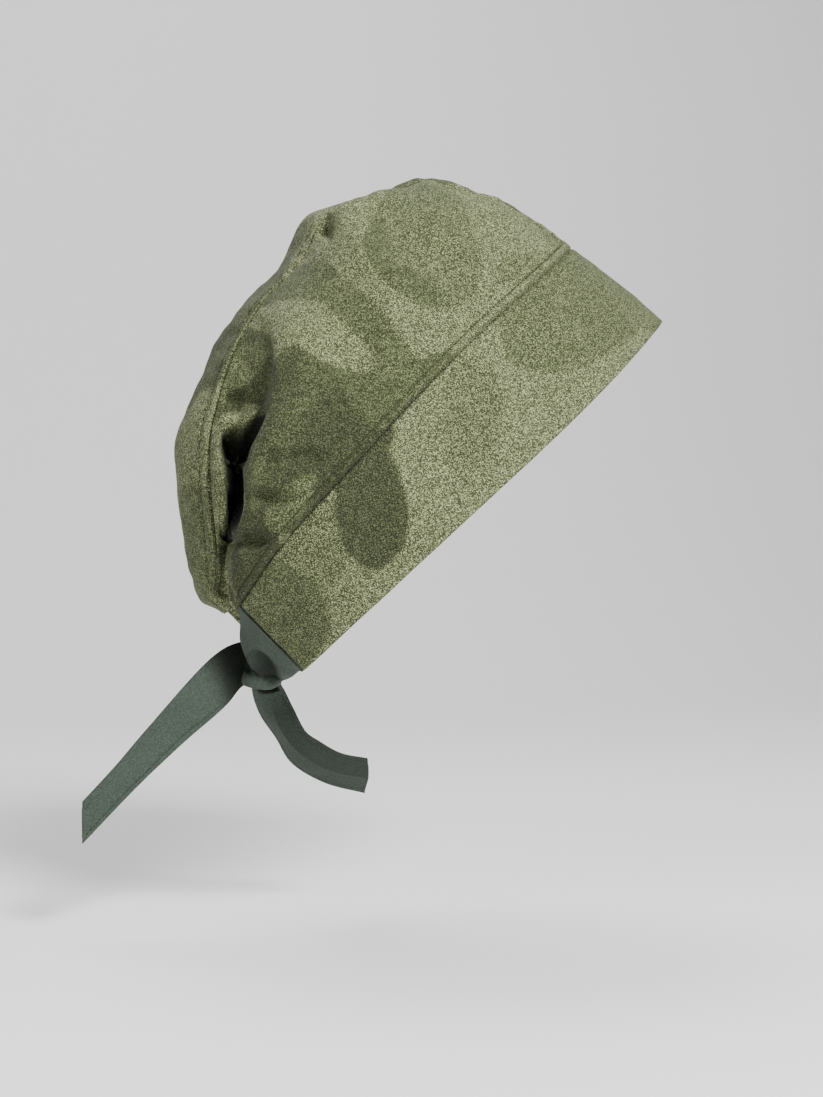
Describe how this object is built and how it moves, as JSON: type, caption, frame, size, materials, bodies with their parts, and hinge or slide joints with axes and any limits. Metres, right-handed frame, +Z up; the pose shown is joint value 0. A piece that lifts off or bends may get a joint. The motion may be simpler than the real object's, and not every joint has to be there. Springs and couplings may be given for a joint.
{
  "type": "bandana cap",
  "caption": "Tie-back cloth cap in olive tonal camouflage with a full folded crown, a wide topstitched band and dark ties knotted at the nape",
  "frame": {"origin": "middle of the head opening, where the cap sits on the head", "axes": "+X forward over the forehead, +Y to the wearer's left, +Z up; -Z points down out of the opening into the head"},
  "size_m": [0.2634, 0.1552, 0.2912],
  "materials": {
    "camouflage_cloth": "matt cotton blend twill, tonal olive camouflage with a light fleck",
    "tie_cloth": "matt dark grey-green twill"
  },
  "bodies": {
    "root": {"crown_top_strip": "camouflage_cloth", "crown_side_right": "camouflage_cloth", "crown_side_left": "camouflage_cloth", "band": "camouflage_cloth", "tie_right": "tie_cloth", "tie_left": "tie_cloth"}
  },
  "joints": []
}
